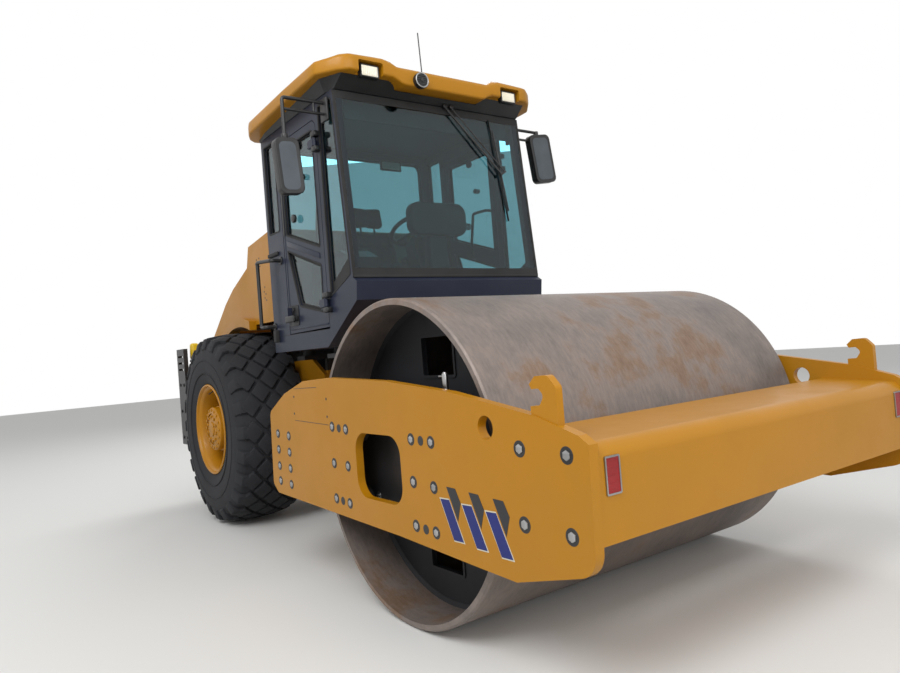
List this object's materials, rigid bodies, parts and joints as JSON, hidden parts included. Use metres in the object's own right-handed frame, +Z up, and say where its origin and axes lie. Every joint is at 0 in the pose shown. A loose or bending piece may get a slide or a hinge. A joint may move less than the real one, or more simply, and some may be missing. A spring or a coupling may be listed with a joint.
{
  "type": "road roller",
  "caption": "Articulated single drum road roller: smooth steel drum in a plated front frame, closed glass cab, rear hood and two large block-tread tyres.",
  "frame": {"origin": "on the ground under the middle of the machine's bounding box", "axes": "+X forward towards the drum, +Y to the machine's left, +Z up"},
  "size_m": [5.87, 2.3, 3.385],
  "materials": {
    "yellow_paint": "gloss",
    "cab_grey": "satin",
    "drum_steel": "worn and dusty",
    "drum_inner": "matt",
    "black_metal": "satin",
    "bare_steel": "satin",
    "black_rubber": "matt",
    "tyre_rubber": "matt",
    "tinted_glass": "clear",
    "lamp_lens": "clear",
    "red_lens": "gloss",
    "seat_cloth": "matt",
    "dark_plastic": "matt",
    "yellow_plastic": "gloss"
  },
  "bodies": {
    "rear_frame": {"fork_upper": "yellow_paint", "fork_lower": "yellow_paint", "pivot_pin": "bare_steel", "chassis_bulkhead": "yellow_paint", "chassis_rail_right": "yellow_paint", "chassis_rail_left": "yellow_paint", "cab_platform": "black_metal", "cab_mounts": "black_rubber", "rear_axle": "black_metal", "engine": "black_metal", "counterweight": "black_metal", "rear_guard_right": "black_metal", "rear_guard_left": "black_metal", "tail_lamps": "yellow_plastic", "cab_base": "cab_grey", "cab_wall_right": "cab_grey", "cab_wall_left": "cab_grey", "cab_wall_rear": "cab_grey", "cab_side_glass": "tinted_glass", "windscreen_frame": "cab_grey", "windscreen": "tinted_glass", "rear_glass": "tinted_glass", "roof": "yellow_paint", "roof_lining": "dark_plastic", "roof_lamps": "lamp_lens", "horn_and_antenna": "black_metal", "grab_rails": "black_metal", "mirrors": "dark_plastic", "seat_base": "dark_plastic", "seat": "seat_cloth", "steering_column": "dark_plastic", "steering_wheel": "dark_plastic", "side_console": "dark_plastic"},
    "centre_link": {"centre_link": "black_metal"},
    "front_frame": {"frame_plate_right": "yellow_paint", "frame_plate_left": "yellow_paint", "front_beam": "yellow_paint", "rear_crossbeam": "yellow_paint", "roll_bearing": "black_metal", "scraper_front": "yellow_paint", "drum_carriers": "black_metal", "rubber_buffers": "black_rubber", "reflectors": "red_lens"},
    "drum": {"drum_shell": "drum_steel", "drum_webs": "drum_inner"},
    "steer_barrel_left": {"steer_barrel_left": "black_metal"},
    "steer_barrel_right": {"steer_barrel_right": "black_metal"},
    "steer_rod_left": {"steer_rod_left": "bare_steel"},
    "steer_rod_right": {"steer_rod_right": "bare_steel"},
    "wheel_right": {"wheel_rim_right": "yellow_paint", "tyre_right": "tyre_rubber"},
    "wheel_left": {"wheel_rim_left": "yellow_paint", "tyre_left": "tyre_rubber"},
    "hood": {"hood": "yellow_paint", "hood_side_right": "yellow_paint", "hood_side_left": "yellow_paint"},
    "door_right": {"door_right": "cab_grey", "door_glass_right": "tinted_glass"},
    "door_left": {"door_left": "cab_grey", "door_glass_left": "tinted_glass"}
  },
  "joints": [
    {"name": "steering", "type": "hinge", "parent": "rear_frame", "child": "centre_link", "pos_m": [0.125, 0, 0.74], "axis": [0, 0, 1], "range_deg": [-33, 33]},
    {"name": "frame_roll", "type": "hinge", "parent": "centre_link", "child": "front_frame", "pos_m": [0.28, 0, 0.74], "axis": [1, 0, 0], "range_deg": [-10, 10]},
    {"name": "drum_turn", "type": "hinge", "parent": "front_frame", "child": "drum", "pos_m": [1.635, 0, 0.762], "axis": [0, 1, 0], "continuous": true},
    {"name": "wheel_right_turn", "type": "hinge", "parent": "rear_frame", "child": "wheel_right", "pos_m": [-1.385, -0.72, 0.77], "axis": [0, 1, 0], "continuous": true},
    {"name": "wheel_left_turn", "type": "hinge", "parent": "rear_frame", "child": "wheel_left", "pos_m": [-1.385, 0.72, 0.77], "axis": [0, 1, 0], "continuous": true},
    {"name": "hood_lift", "type": "hinge", "parent": "rear_frame", "child": "hood", "pos_m": [-2.6, 0, 1.225], "axis": [0, -1, 0], "range_deg": [0, 50]},
    {"name": "door_right_swing", "type": "hinge", "parent": "rear_frame", "child": "door_right", "pos_m": [0.425, -0.767, 2.1], "axis": [0, 0, 1], "range_deg": [0, 85]},
    {"name": "door_left_swing", "type": "hinge", "parent": "rear_frame", "child": "door_left", "pos_m": [0.425, 0.767, 2.1], "axis": [0, 0, -1], "range_deg": [0, 85]},
    {"name": "barrel_left_swing", "type": "hinge", "parent": "rear_frame", "child": "steer_barrel_left", "pos_m": [-0.435, 0.215, 0.815], "axis": [0, 0, 1], "range_deg": [-8, 8]},
    {"name": "barrel_right_swing", "type": "hinge", "parent": "rear_frame", "child": "steer_barrel_right", "pos_m": [-0.435, -0.215, 0.815], "axis": [0, 0, 1], "range_deg": [-8, 8]},
    {"name": "rod_left_slide", "type": "slide", "parent": "steer_barrel_left", "child": "steer_rod_left", "axis": [0.999, -0.0446, 0], "range_m": [-0.115, 0.115]},
    {"name": "rod_right_slide", "type": "slide", "parent": "steer_barrel_right", "child": "steer_rod_right", "axis": [0.999, 0.0446, 0], "range_m": [-0.115, 0.115]}
  ],
  "couplings": [
    {"joint": "rod_left_slide", "follows": "steering", "m_per_rad": -0.185},
    {"joint": "rod_right_slide", "follows": "steering", "m_per_rad": 0.185},
    {"joint": "barrel_left_swing", "follows": "steering", "ratio": -0.033},
    {"joint": "barrel_right_swing", "follows": "steering", "ratio": -0.033}
  ]
}
